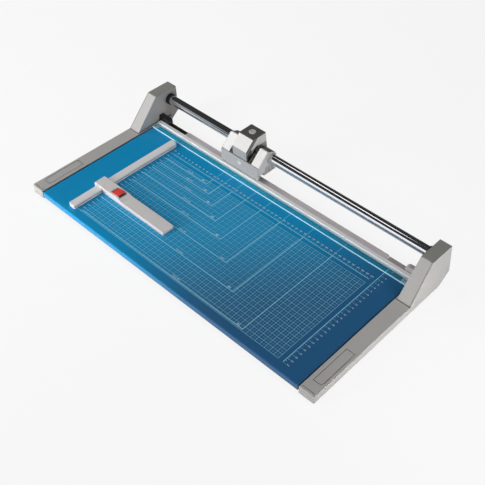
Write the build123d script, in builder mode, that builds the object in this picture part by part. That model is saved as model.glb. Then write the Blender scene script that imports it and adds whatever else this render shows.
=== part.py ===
from build123d import *
from math import sqrt
import os

os.makedirs("parts", exist_ok=True)

# Rotary paper trimmer: a steel table between two moulded ends, a round bar that
# guides the cutting head along a fixed knife, a sprung clear clamp and a sliding gauge.
# Millimetres. +X right along the cut, +Y from the front edge to the back, +Z up.
# The origin lies under the middle of the machine, on the surface that it stands on.

# --- Whole machine ---
overall_length = 702.0      # over the outer faces of the end caps
overall_depth = 356.0       # front edge to the rearmost point of the towers
heel_overhang = 25.0        # towers' heels past the rear of the base
foot_height = 3.0
cap_height = 17.0
cap_width = 30.3
table_drop = 1.0            # table surface below the cap tops
table_end_gap = 1.8         # open slit between the table and the caps
wall = 2.5                  # moulded housing walls
joint_gap = 0.5             # shadow gap between neighbouring covers
hidden_gap = 0.3            # clearance between pieces that pass each other

# --- Steel table ---
sheet = 1.5
table_lip = 11.5
bend_radius = 2.0

# --- Fixed knife and the beam below it ---
cut_from_rear = 38.0        # in front of the towers' rearmost point
knife_width = 26.0
knife_thickness = 3.0
knife_length = 506.0
knife_bevel = 1.0
beam_depth = 50.0
beam_wall = 2.2
beam_clear_of_floor = 1.5
screw_port_radius = 2.1

# --- Towers ---
tower_reach = 88.0          # seam with the cap, in front of the rearmost point
toe_reach = 112.0           # the slope's foot lies on the cap from here
toe_gap = 1.6               # groove across the cap at the foot of the slope
tower_slope_run = 53.0
tower_top_length = 55.0
tower_height = 79.5         # above the underside of the caps
tower_inset = 3.3           # inner face, outward of the cap's inner edge
tower_draft = 3.7           # the outer face leans in by this at the top
heel_height = 20.0
cover_seam = 1.4            # seam along the slope, in from its outer edge
seam_width = 0.8
edge_radius = 1.2

# --- Guide bar ---
bar_radius = 10.0
bar_wall = 2.0
bar_behind_cut = 16.5
bar_above_table = 41.0
bar_in_bracket = 16.0
bar_clearance = 0.05
collar_radius = 11.5
collar_length = 8.0
bracket_thickness = 7.0
bracket_boss_radius = 14.5
port_from_edge = 6.5        # frame screws, behind the bracket's front

# --- Clamp ---
clamp_lift = 1.8            # clear strip above the table, ready for paper
clamp_travel = 1.5
strip_width = 22.0
strip_thickness = 2.5
rail_width = 8.5
rail_behind = 16.5          # rail's rear face in front of the cut
rail_thickness = 2.2
rail_leg = 3.0
guide_pin_radius = 2.5
guide_pin_inset = 6.5       # from the ends of the strip
clamp_tab = 1.2             # thin plate over the strip's end
spring_wire = 0.7
spring_turns = 3

# --- Cutting head, at rest left of the middle ---
head_rest_x = -90.0
grip_half = 18.5
grip_proud = 1.8            # grip in front of the sleeves
groove_half = 29.0          # grooves between grip and sleeves end here
sleeve_half = 47.0
end_plate = 1.5             # fluted plates that close the carriage
bushing_wall = 1.75
sleeve_radius = 14.5
sleeve_facet_offset = 55.0  # 45 degree facet of the sleeves: w - v
grip_facet_offset = 78.5    # 45 degree facet of the grip
facet_run = 24.7
carriage_front = 18.7       # in front of the cut
carriage_back = 32.0
carriage_bottom = 10.0      # above the table
neck_inset = 3.5
flange_width = 2.5
shell = 2.5
grip_height = 78.0
grip_top_depth = 34.0
grip_back_lean = 4.5
cap_plate = 2.0
screw_head_radius = 7.0
slot_width = 1.6
grip_clearance = 2.0        # between the grip and the neck it straddles
dock_wall = 33.5            # face of the carriage that meets the buffer
dock_clearance = 0.7
flute_count = 6
flute_pitch = 4.4
flute_depth = 0.8
guard_thickness = 2.0
guard_drop = 1.5            # below the carriage
shoe_length = 9.0

# --- Circular blade ---
blade_radius = 28.0
blade_overlap = 2.5         # below the knife's top face
blade_thickness = 1.2
blade_side_gap = 0.1
blade_bevel = 3.5
hub_radius = 9.0
hub_length = 6.5
spigot_radius = 6.0
axle_radius = 4.0
axle_head = 1.0
blade_clearance = 1.0       # round the rim and the hub
slot_wall = 1.5             # between the blade's pocket and the bar

# --- Buffers ---
buffer_length = 29.0
buffer_height = 16.0
buffer_depth = 12.0
buffer_from_cut = 3.5

# --- Side stop and gauge ---
stop_from_cap = 83.2        # its right edge is the zero of the scales
stop_width = 16.0
stop_height = 8.4
stop_front = 12.0
stop_to_strip = 6.5
groove_depth = 1.5
groove_height = 2.8
gauge_front = 78.0
gauge_width = 25.5
gauge_reach = 168.5         # past the stop
gauge_overhang = 5.5        # left of the stop
gauge_head_height = 12.0
gauge_arm_height = 8.6
gauge_tip_drop = 1.6        # over the last part of the arm
gauge_slope = 12.0          # from the head's height to the arm's
gauge_float = 0.4
gauge_wall = 2.2
lever_from_stop = 27.5      # pivot, right of the stop
lever_length = 15.0
lever_width = 16.0
lever_cam = 5.2
lever_pin_radius = 1.25
lever_pivot_height = 7.6
lever_rise = 15.5

# --- Small parts ---
foot_radius = 7.5
foot_stem_radius = 3.0
foot_stem = 6.0
foot_inset = 9.5
screw_radius = 1.5
screw_head = 3.0
panel_width = 16.5
panel_length = 81.0
panel_from_front = 24.0
panel_depth = 1.2
panel_gap = 0.9             # dark outline round the inset panel
front_groove = 1.2
rib_pitch = 50.0
rib = 1.5

# --- Places worked out from the sizes above ---
half_length = overall_length / 2
front_y = -overall_depth / 2
base_z = foot_height
cap_top = base_z + cap_height
table_z = cap_top - table_drop
cap_inner = half_length - cap_width
tower_inner = cap_inner + tower_inset
table_half = cap_inner - table_end_gap
heel_y = front_y + overall_depth
base_back_y = heel_y - heel_overhang
tower_seam_y = heel_y - tower_reach
cap_length = tower_seam_y - front_y
cut_y = heel_y - cut_from_rear
knife_front_y = cut_y - knife_width
bar_y = cut_y + bar_behind_cut
bar_z = table_z + bar_above_table
tower_top_z = base_z + tower_height
bushing_radius = bar_radius + bar_clearance + bushing_wall
bracket_x = tower_inner + wall
bar_half = bracket_x + bar_in_bracket
beam_bottom = base_z + beam_clear_of_floor
beam_front_y = cut_y - hidden_gap - beam_depth
buffer_end = tower_inner - buffer_length
buffer_y = cut_y - buffer_from_cut - buffer_depth / 2
carriage_half = sleeve_half + end_plate
strip_bottom = table_z + clamp_lift
strip_top = strip_bottom + strip_thickness
rail_back_y = cut_y - rail_behind
rail_front_y = rail_back_y - rail_width
strip_front_y = rail_back_y - rail_leg - strip_width
pin_x = table_half - guide_pin_inset
pin_y = (strip_front_y + rail_front_y) / 2
stop_edge_x = stop_from_cap - cap_inner
stop_left = stop_edge_x - stop_width
stop_length = strip_front_y - stop_to_strip - front_y - stop_front
gauge_y = front_y + gauge_front
gauge_left = stop_left - gauge_overhang
gauge_right = stop_edge_x + gauge_reach
lever_x = stop_edge_x + lever_from_stop
lever_y = gauge_y + gauge_width / 2
lever_z = table_z + lever_pivot_height


def at_x(x):
    """Sketch plane across the machine: local x is +Y, local y is +Z, extrudes to +X."""
    return Plane.YZ.offset(x)


def at_y(y):
    """Sketch plane along the machine: local x is +X, local y is +Z, extrudes to -Y."""
    return Plane.XZ.offset(-y)


def at_z(z):
    return Plane.XY.offset(z)


def write(piece, name):
    piece.label = name
    export_step(piece, f"parts/{name}.step")


def write_pair(right_piece, name):
    """Writes the right-hand piece and its mirror image."""
    write(mirror(right_piece, about=Plane.YZ), "left_" + name)
    write(right_piece, "right_" + name)


# ---------------------------------------------------------------- table and knife
beam_top = table_z - sheet
knife_bottom = table_z - knife_thickness
table_depth = knife_front_y - hidden_gap - front_y
table_mid_y = front_y + table_depth / 2
stop_screw_ys = [front_y + stop_front + stop_length * share for share in (0.12, 0.5, 0.88)]
stop_mid_x = stop_edge_x - stop_width / 2
cap_screw_ys = [front_y + cap_length * share for share in (0.12, 0.5, 0.88)]
cap_screw_z = table_z - table_lip / 2

with BuildPart() as table_plate:
    with BuildSketch(at_z(table_z - table_lip)):
        with Locations((0, table_mid_y)):
            Rectangle(2 * table_half, table_depth)
    extrude(amount=table_lip)
    top_edges = table_plate.faces().sort_by(Axis.Z)[-1].edges()
    fillet(top_edges, bend_radius)
    with BuildSketch(at_z(table_z - table_lip)):
        with Locations((0, table_mid_y)):
            Rectangle(2 * (table_half - sheet), table_depth - 2 * sheet)
    extrude(amount=table_lip - sheet, mode=Mode.SUBTRACT)
    # the lips are cut away where the beam takes over
    with BuildSketch(at_z(table_z - table_lip)):
        with Locations((0, beam_front_y - joint_gap + beam_depth / 2)):
            Rectangle(2 * (table_half + sheet), beam_depth)
    extrude(amount=table_lip - sheet, mode=Mode.SUBTRACT)
    with Locations((pin_x, pin_y, table_z), (-pin_x, pin_y, table_z)):
        Cylinder(guide_pin_radius + joint_gap, 4 * sheet, mode=Mode.SUBTRACT)
    with Locations([(stop_mid_x, y, table_z) for y in stop_screw_ys]):
        Cylinder(screw_radius, 4 * sheet, mode=Mode.SUBTRACT)
    with Locations([(x, y, cap_screw_z) for x in (-table_half, table_half) for y in cap_screw_ys]):
        Cylinder(screw_radius, 4 * sheet, rotation=(0, 90, 0), mode=Mode.SUBTRACT)
write(table_plate.part, "table_plate")

stiffener_width = 46.0
stiffener_flange = 10.0
stiffener_depth = 8.0
with BuildPart() as table_stiffeners:
    hat_y = front_y + sheet + joint_gap
    hat_length = beam_front_y - joint_gap - hat_y
    for x in (-table_half / 2, table_half / 2):
        with BuildSketch(at_y(hat_y)):
            with BuildLine():
                half = stiffener_width / 2
                crown = half - stiffener_flange
                top = table_z - sheet
                hat = Polyline(
                    (x - half, top - sheet / 2),
                    (x - crown, top - sheet / 2),
                    (x - crown + stiffener_flange / 3, top - stiffener_depth),
                    (x + crown - stiffener_flange / 3, top - stiffener_depth),
                    (x + crown, top - sheet / 2),
                    (x + half, top - sheet / 2),
                )
                offset(hat, amount=sheet / 2, side=Side.BOTH)
            make_face()
        extrude(amount=-hat_length)
write(table_stiffeners.part, "table_stiffeners")

bracket_front_y = tower_seam_y + wall + 2 * hidden_gap
port_ys = [bracket_front_y + port_from_edge, cut_y - hidden_gap - beam_depth / 5]
port_z = beam_bottom + (knife_bottom - beam_bottom) / 2
beam_mid_y = beam_front_y + beam_depth / 2
with BuildPart() as rear_beam:
    with BuildSketch(at_x(-table_half + hidden_gap)):
        with BuildLine():
            Polyline(
                (beam_front_y, beam_bottom),
                (cut_y - hidden_gap, beam_bottom),
                (cut_y - hidden_gap, knife_bottom),
                (knife_front_y - joint_gap, knife_bottom),
                (knife_front_y - joint_gap, beam_top),
                (beam_front_y, beam_top),
                close=True,
            )
        make_face()
        cell = (beam_depth - 3 * beam_wall) / 2
        cell_height = knife_bottom - beam_bottom - 2 * beam_wall
        with Locations((beam_mid_y, beam_bottom + beam_wall + cell_height / 2)):
            with GridLocations(cell + beam_wall, 1, 2, 1):
                RectangleRounded(cell, cell_height, beam_wall / 3, mode=Mode.SUBTRACT)
        # round ports in the cells take the frame screws
        with Locations([(y, port_z) for y in port_ys]):
            Circle(cell_height / 2 + beam_wall / 4)
            Circle(screw_port_radius, mode=Mode.SUBTRACT)
    extrude(amount=2 * (table_half - hidden_gap))
    with Locations((pin_x, pin_y, beam_top), (-pin_x, pin_y, beam_top)):
        Cylinder(guide_pin_radius + joint_gap, 2 * cell_height, mode=Mode.SUBTRACT)
write(rear_beam.part, "rear_beam")

knife_screw_y = rail_front_y + rail_width / 2
knife_screw_count = 5
knife_screw_pitch = knife_length / knife_screw_count
with BuildPart() as counter_knife:
    with BuildSketch(at_x(-knife_length / 2)):
        with BuildLine():
            Polyline(
                (knife_front_y, knife_bottom),
                (cut_y - knife_bevel, knife_bottom),
                (cut_y, table_z - knife_bevel),
                (cut_y, table_z),
                (knife_front_y, table_z),
                close=True,
            )
        make_face()
    extrude(amount=knife_length)
    with Locations(at_z(table_z)):
        with Locations((0, knife_screw_y)):
            with GridLocations(knife_screw_pitch, 1, knife_screw_count, 1):
                CounterSinkHole(screw_radius + 0.1, screw_head + 0.1, counter_sink_angle=90)
write(counter_knife.part, "counter_knife")

with BuildPart() as knife_screws:
    with Locations((0, knife_screw_y)):
        with GridLocations(knife_screw_pitch, 1, knife_screw_count, 1):
            with Locations((0, 0, table_z)):
                Cylinder(screw_radius, knife_thickness, align=(Align.CENTER, Align.CENTER, Align.MAX))
                Cone(screw_radius, screw_head, screw_head - screw_radius,
                     align=(Align.CENTER, Align.CENTER, Align.MAX))
write(knife_screws.part, "knife_screws")

# dark moulded pieces carry the knife's line on to the towers
end_piece_start = knife_length / 2 + hidden_gap
with BuildPart() as knife_end_piece:
    with BuildSketch(at_x(end_piece_start)):
        with BuildLine():
            Polyline(
                (knife_front_y, knife_bottom),
                (cut_y - knife_bevel, knife_bottom),
                (cut_y - knife_bevel, table_z - knife_bevel),
                (cut_y - 2 * knife_bevel, table_z),
                (knife_front_y, table_z),
                close=True,
            )
        make_face()
    extrude(amount=table_half - hidden_gap - end_piece_start)
write_pair(knife_end_piece.part, "knife_end_piece")

with BuildPart() as buffer_block:
    with BuildSketch(at_y(buffer_y)):
        with BuildLine():
            top = table_z + buffer_height
            Line((tower_inner, table_z), (buffer_end, table_z))
            Line((buffer_end, table_z), (buffer_end, table_z + buffer_height / 2))
            RadiusArc((buffer_end, table_z + buffer_height / 2),
                      (buffer_end + buffer_height / 2, top), buffer_height / 2)
            Line((buffer_end + buffer_height / 2, top), (tower_inner, top))
            Line((tower_inner, top), (tower_inner, table_z))
        make_face()
    extrude(amount=buffer_depth / 2, both=True)
    # the tower's ledge below the inner face is left free
    with BuildSketch(at_y(buffer_y)):
        with Locations((tower_inner, table_z)):
            Rectangle(2 * (tower_inset + joint_gap + hidden_gap), 2 * table_drop + 2 * hidden_gap)
    extrude(amount=buffer_depth, both=True, mode=Mode.SUBTRACT)
    fillet(buffer_block.edges().filter_by(Axis.X).group_by(Axis.Z)[-1], buffer_depth / 4)
write_pair(buffer_block.part, "buffer")


# ---------------------------------------------------------------- ends and towers
cap_mid_x = half_length - cap_width / 2
cap_foot = (half_length - foot_inset, front_y + 2 * foot_inset)
tower_foot = (half_length - foot_inset, beam_mid_y)
panel_y = front_y + panel_from_front + panel_length / 2
panel_x = cap_mid_x + edge_radius
tower_front_y = heel_y - toe_reach

with BuildPart() as end_cap:
    with BuildSketch(at_z(base_z)):
        with Locations((cap_mid_x, front_y + cap_length / 2)):
            Rectangle(cap_width, cap_length)
    extrude(amount=cap_height)
    upright_edges = end_cap.edges().filter_by(Axis.Z)
    fillet(upright_edges.group_by(Axis.Y)[0].sort_by(Axis.X)[-1], 2 * edge_radius)
    top_edges = end_cap.faces().sort_by(Axis.Z)[-1].edges()
    fillet(top_edges.filter_by(lambda edge: edge.center().Y < tower_seam_y - joint_gap), edge_radius)
    # open underneath
    with BuildSketch(at_z(base_z)):
        with Locations((cap_mid_x, front_y + cap_length / 2)):
            Rectangle(cap_width - 2 * wall, cap_length - 2 * wall)
    extrude(amount=cap_height - wall, mode=Mode.SUBTRACT)
    # cross ribs
    rib_count = int((cap_length - 2 * foot_inset) / rib_pitch)
    with BuildSketch(at_z(base_z + 2 * wall)):
        with Locations((cap_mid_x, front_y + cap_length / 2)):
            with GridLocations(1, rib_pitch, 1, rib_count):
                Rectangle(cap_width - wall, rib)
    extrude(amount=cap_height - 3 * wall)
    # boss for the foot's stem
    with BuildSketch(at_z(base_z)):
        with Locations(cap_foot):
            Circle(foot_radius)
            Circle(foot_stem_radius, mode=Mode.SUBTRACT)
    extrude(amount=cap_height - wall)
    # recess for the inset panel, one front corner rounded with the panel's
    with BuildSketch(at_z(cap_top)):
        with Locations((panel_x, panel_y)):
            recess = Rectangle(panel_width + panel_gap, panel_length + panel_gap)
        fillet(recess.vertices().group_by(Axis.Y)[0].sort_by(Axis.X)[-1], 3 * wall)
    extrude(amount=-panel_depth, mode=Mode.SUBTRACT)
    # shallow grooves across the front and at the foot of the tower's slope
    with Locations((cap_mid_x - 2 * edge_radius, front_y + 2 * wall, cap_top)):
        Box(cap_width - 2 * edge_radius, front_groove, 2 * joint_gap, mode=Mode.SUBTRACT)
    with Locations((cap_mid_x, tower_front_y - toe_gap / 2, cap_top)):
        Box(cap_width + 2 * edge_radius, toe_gap, 2 * toe_gap, mode=Mode.SUBTRACT)
    with Locations([(cap_inner, y, cap_screw_z) for y in cap_screw_ys]):
        Cylinder(screw_radius, 4 * wall, rotation=(0, 90, 0), mode=Mode.SUBTRACT)
write_pair(end_cap.part, "end_cap")

with BuildPart() as inset_panel:
    with BuildSketch(at_z(cap_top - panel_depth)):
        with Locations((panel_x, panel_y)):
            plate = Rectangle(panel_width - panel_gap, panel_length - panel_gap)
        fillet(plate.vertices().group_by(Axis.Y)[0].sort_by(Axis.X)[-1], 3 * wall - panel_gap)
    extrude(amount=panel_depth - hidden_gap / 2)
write_pair(inset_panel.part, "inset_panel")

slope_top_y = tower_front_y + tower_slope_run
tower_back_y = slope_top_y + tower_top_length
seam_gap_y = tower_seam_y + hidden_gap

# thin upright sheet beside the outer face, kept only where the slope's surface cuts it
with BuildPart() as slope_seam:
    with BuildSketch(at_y(slope_top_y)):
        with BuildLine():
            Polyline(
                (half_length - cover_seam, cap_top),
                (half_length - cover_seam - seam_width, cap_top),
                (half_length - cover_seam - seam_width - tower_draft, tower_top_z),
                (half_length - cover_seam - tower_draft, tower_top_z),
                close=True,
            )
        make_face()
    extrude(amount=tower_slope_run)
    with BuildSketch(at_x(tower_inner)):
        with BuildLine():
            Polyline(
                (tower_front_y, cap_top),
                (slope_top_y, tower_top_z),
                (slope_top_y, tower_top_z - seam_width),
                (tower_front_y + seam_width, cap_top),
                close=True,
            )
        make_face()
    extrude(amount=cap_width, mode=Mode.INTERSECT)

with BuildPart() as tower:
    with BuildSketch(at_x(tower_inner)):
        with BuildLine():
            Polyline(
                (tower_front_y, cap_top),
                (slope_top_y, tower_top_z),
                (tower_back_y, tower_top_z),
                (heel_y, base_z + heel_height),
                (base_back_y, base_z),
                (seam_gap_y, base_z),
                (seam_gap_y, cap_top),
                close=True,
            )
        make_face()
    extrude(amount=half_length - tower_inner)
    # the outer face leans in from the caps' top level upwards
    with BuildSketch(at_y(heel_y)):
        with BuildLine():
            Polyline(
                (half_length, cap_top),
                (half_length + tower_draft, tower_top_z + tower_draft),
                (half_length - tower_draft, tower_top_z + tower_draft),
                close=True,
            )
        make_face()
    extrude(amount=overall_depth, mode=Mode.SUBTRACT)
    fillet(tower.edges().filter_by(Axis.X).group_by(Axis.Z)[-1], edge_radius)
    add(slope_seam.part, mode=Mode.SUBTRACT)
    # ledge that closes the end of the table below the towers
    with BuildSketch(at_x(cap_inner)):
        with BuildLine():
            Polyline(
                (seam_gap_y, base_z),
                (base_back_y, base_z),
                (base_back_y + tower_inset, base_z + tower_inset),
                (base_back_y + tower_inset, cap_top),
                (seam_gap_y, cap_top),
                close=True,
            )
        make_face()
    extrude(amount=tower_inset)
    # inside: open underneath, walls all round
    with BuildSketch(at_x(bracket_x)):
        with BuildLine():
            Polyline(
                (seam_gap_y + wall, base_z),
                (seam_gap_y + wall, cap_top + wall),
                (slope_top_y + wall, tower_top_z - wall),
                (tower_back_y - wall, tower_top_z - wall),
                (heel_y - 2 * wall, base_z + heel_height),
                (base_back_y - wall, base_z),
                close=True,
            )
        make_face()
    extrude(amount=half_length - tower_draft - wall - bracket_x, mode=Mode.SUBTRACT)
    # hole for the bar
    with Locations((tower_inner, bar_y, bar_z)):
        Cylinder(bar_radius + joint_gap, 4 * wall, rotation=(0, 90, 0), mode=Mode.SUBTRACT)
    # holes for the frame screws
    with Locations([(tower_inner, y, port_z) for y in port_ys]):
        Cylinder(screw_port_radius, 4 * wall + 2 * tower_inset, rotation=(0, 90, 0),
                 mode=Mode.SUBTRACT)
    # boss for the foot's stem
    with BuildSketch(at_z(base_z)):
        with Locations(tower_foot):
            Circle(foot_radius)
            Circle(foot_stem_radius, mode=Mode.SUBTRACT)
    extrude(amount=cap_height - wall)
    with BuildSketch(at_z(base_z + cap_height - wall)):
        with Locations(tower_foot):
            Circle(foot_radius)
    extrude(amount=wall)
write_pair(tower.part, "tower")

with BuildPart() as guide_bar:
    with BuildSketch(at_x(-bar_half)):
        with Locations((bar_y, bar_z)):
            Circle(bar_radius)
            Circle(bar_radius - bar_wall, mode=Mode.SUBTRACT)
    extrude(amount=2 * bar_half)
write(guide_bar.part, "guide_bar")

with BuildPart() as bar_collar:
    with BuildSketch(at_x(tower_inner - collar_length)):
        with Locations((bar_y, bar_z)):
            Circle(collar_radius)
            Circle(bar_radius, mode=Mode.SUBTRACT)
    extrude(amount=collar_length)
    chamfer(bar_collar.edges().group_by(Axis.X)[0].sort_by(SortBy.LENGTH)[-1], edge_radius / 2)
write_pair(bar_collar.part, "bar_collar")

bracket_floor = base_z + wall
with BuildPart() as bar_bracket:
    with BuildSketch(at_x(bracket_x)):
        with BuildLine():
            web = bracket_boss_radius
            Polyline(
                (bracket_front_y, bracket_floor),
                (base_back_y - wall, bracket_floor),
                (bar_y + web - wall, base_z + heel_height),
                (bar_y + web, bar_z),
                (bar_y - web, bar_z),
                (bracket_front_y, cap_top),
                close=True,
            )
        make_face()
        with Locations((bar_y, bar_z)):
            Circle(bracket_boss_radius)
    extrude(amount=bracket_thickness)
    with BuildSketch(at_x(bracket_x + bracket_thickness)):
        with Locations((bar_y, bar_z)):
            Circle(bracket_boss_radius - 1)
    extrude(amount=bar_in_bracket - bracket_thickness)
    with Locations((bracket_x + bar_in_bracket / 2, bar_y, bar_z)):
        Cylinder(bar_radius, bar_in_bracket, rotation=(0, 90, 0), mode=Mode.SUBTRACT)
    with Locations((bracket_x + bar_in_bracket / 2 + wall, bar_y, bar_z + bar_radius)):
        Cylinder(screw_port_radius, 4 * wall, align=(Align.CENTER, Align.CENTER, Align.MIN),
                 mode=Mode.SUBTRACT)
    with Locations([(bracket_x, y, port_z) for y in port_ys]):
        Cylinder(screw_port_radius, 4 * bracket_thickness, rotation=(0, 90, 0), mode=Mode.SUBTRACT)
write_pair(bar_bracket.part, "bar_bracket")

# grub screws clamp the bar in its brackets
with BuildPart() as bar_set_screws:
    for side in (-1, 1):
        set_x = side * (bracket_x + bar_in_bracket / 2 + wall)
        with Locations((set_x, bar_y, bar_z + bar_radius + hidden_gap / 3)):
            Cylinder(screw_port_radius, 2 * wall, align=(Align.CENTER, Align.CENTER, Align.MIN))
    socket_faces = bar_set_screws.faces().filter_by(Axis.Z).group_by(Axis.Z)[-1]
    for face in socket_faces:
        with BuildSketch(Plane(face.center())):
            RegularPolygon(1.2, 6)
        extrude(amount=-wall / 2, mode=Mode.SUBTRACT)
write(bar_set_screws.part, "bar_set_screws")

frame_screw_length = 24.0
with BuildPart() as frame_screws:
    for side in (-1, 1):
        head_x = side * (bracket_x + bracket_thickness)
        with Locations([Location((head_x, y, port_z), (0, -90 * side, 0)) for y in port_ys]):
            Cylinder(screw_port_radius, frame_screw_length,
                     align=(Align.CENTER, Align.CENTER, Align.MIN))
            Cylinder(2 * screw_port_radius, 2 * screw_radius,
                     align=(Align.CENTER, Align.CENTER, Align.MAX))
write(frame_screws.part, "frame_screws")

with BuildPart() as cap_screws:
    for side in (-1, 1):
        head_x = side * (table_half - sheet)
        with Locations([Location((head_x, y, cap_screw_z), (0, 90 * side, 0)) for y in cap_screw_ys]):
            Cylinder(screw_radius, 2 * wall + sheet, align=(Align.CENTER, Align.CENTER, Align.MIN))
            Cylinder(screw_head, screw_radius, align=(Align.CENTER, Align.CENTER, Align.MAX))
write(cap_screws.part, "cap_screws")

feet_at = {"front_foot": cap_foot, "rear_foot": tower_foot}
for name, (x, y) in feet_at.items():
    with BuildPart() as rubber_foot:
        with BuildSketch(at_z(0)):
            with Locations((x, y)):
                Circle(foot_radius)
        extrude(amount=foot_height)
        chamfer(rubber_foot.edges().group_by(Axis.Z)[0], foot_height / 5)
        with BuildSketch(at_z(foot_height)):
            with Locations((x, y)):
                Circle(foot_stem_radius)
        extrude(amount=foot_stem)
    write_pair(rubber_foot.part, name)


# ---------------------------------------------------------------- clamp
with BuildPart() as clear_strip:
    with BuildSketch(at_x(-table_half)):
        with BuildLine():
            Polyline(
                (strip_front_y, strip_bottom),
                (strip_front_y + strip_width, strip_bottom),
                (strip_front_y + strip_width, strip_top),
                (strip_front_y + strip_thickness / 2, strip_top),
                (strip_front_y, strip_top - strip_thickness / 2),
                close=True,
            )
        make_face()
    extrude(amount=2 * table_half)
    with Locations((pin_x, pin_y, strip_bottom), (-pin_x, pin_y, strip_bottom)):
        Cylinder(guide_pin_radius, 4 * strip_thickness, mode=Mode.SUBTRACT)
write(clear_strip.part, "clear_strip")

with BuildPart() as clamp_rail:
    with BuildSketch(at_x(-table_half)):
        with BuildLine():
            rail_top = strip_top + rail_thickness
            Polyline(
                (rail_front_y, strip_top),
                (rail_back_y - rail_leg, strip_top),
                (rail_back_y - rail_leg, strip_bottom),
                (rail_back_y, strip_bottom),
                (rail_back_y, rail_top),
                (rail_front_y, rail_top),
                close=True,
            )
        face = make_face()
        fillet(face.vertices().group_by(Axis.Y)[-1], rail_thickness / 3)
    extrude(amount=2 * table_half)
write(clamp_rail.part, "clamp_rail")

end_tab_width = 14.0
with BuildPart() as clamp_end:
    with BuildSketch(at_z(strip_top)):
        with Locations((pin_x, pin_y)):
            RectangleRounded(2 * guide_pin_inset, end_tab_width, clamp_tab)
    extrude(amount=clamp_tab)
    # the guide pin goes down through the strip, the table and the beam's top
    with BuildSketch(at_z(strip_top)):
        with Locations((pin_x, pin_y)):
            Circle(guide_pin_radius)
    pin_length = strip_top - beam_bottom - beam_wall - 3 * clamp_travel
    extrude(amount=-pin_length)
    chamfer(clamp_end.edges().group_by(Axis.Z)[0], 0.4)
write_pair(clamp_end.part, "clamp_end")

# coil springs stand in the beam under the guide pins and hold the clamp up
spring_floor = beam_bottom + beam_wall
spring_height = strip_top - pin_length - spring_floor
spring_radius = guide_pin_radius - spring_wire / 2
coil_height = spring_height - spring_wire
with BuildPart() as clamp_spring:
    with BuildLine(Plane(origin=(pin_x, pin_y, spring_floor + spring_wire / 2))) as coil:
        Helix(pitch=coil_height / spring_turns, height=coil_height, radius=spring_radius)
    with BuildSketch(Plane(origin=coil.line @ 0, z_dir=coil.line % 0)):
        RegularPolygon(spring_wire / 2, 6)
    sweep(is_frenet=True)
write_pair(clamp_spring.part, "clamp_spring")

# ---------------------------------------------------------------- cutting head
# Sketches of the head use v behind the cut and w above the table.
head_x = head_rest_x


def head_plane(x):
    """Sketch plane across the head: origin on the knife's edge, local x back, local y up."""
    return Plane(origin=(x, cut_y, table_z), x_dir=(0, 1, 0), z_dir=(1, 0, 0))


facet_low = (-carriage_front, sleeve_facet_offset - carriage_front)
facet_high = (facet_low[0] + facet_run, facet_low[1] + facet_run)
bar_at = (bar_behind_cut, bar_above_table)
axle_at = blade_radius - blade_overlap


def sleeve_outline(inset):
    """Hull of the round bearing and the 45 degree facet in front of it."""
    slant = inset / sqrt(2)
    with BuildSketch() as outline:
        with BuildLine():
            Line((facet_low[0] + 2 * slant, facet_low[1]), (facet_high[0] + slant, facet_high[1] - slant))
            CenterArc(bar_at, sleeve_radius - inset, 0, 360)
        make_hull()
    return outline.sketch


with BuildPart() as right_sleeve:
    with BuildSketch(head_plane(head_x + groove_half)):
        add(sleeve_outline(0))
        with Locations(bar_at):
            Circle(bushing_radius, mode=Mode.SUBTRACT)
    extrude(amount=sleeve_half - groove_half)
    end_face = right_sleeve.faces().sort_by(Axis.X)[-1]
    chamfer(end_face.outer_wire().edges(), edge_radius / 2)
write(right_sleeve.part, "right_sleeve")
left_sleeve = mirror(right_sleeve.part, about=Plane.YZ.offset(head_x))
write(left_sleeve, "left_sleeve")

with BuildPart() as right_bushing:
    with BuildSketch(head_plane(head_x + groove_half + wall)):
        with Locations(bar_at):
            Circle(bushing_radius)
            Circle(bar_radius + bar_clearance, mode=Mode.SUBTRACT)
    extrude(amount=sleeve_half - groove_half - wall - hidden_gap)
write(right_bushing.part, "right_bushing")
write(mirror(right_bushing.part, about=Plane.YZ.offset(head_x)), "left_bushing")

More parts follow.
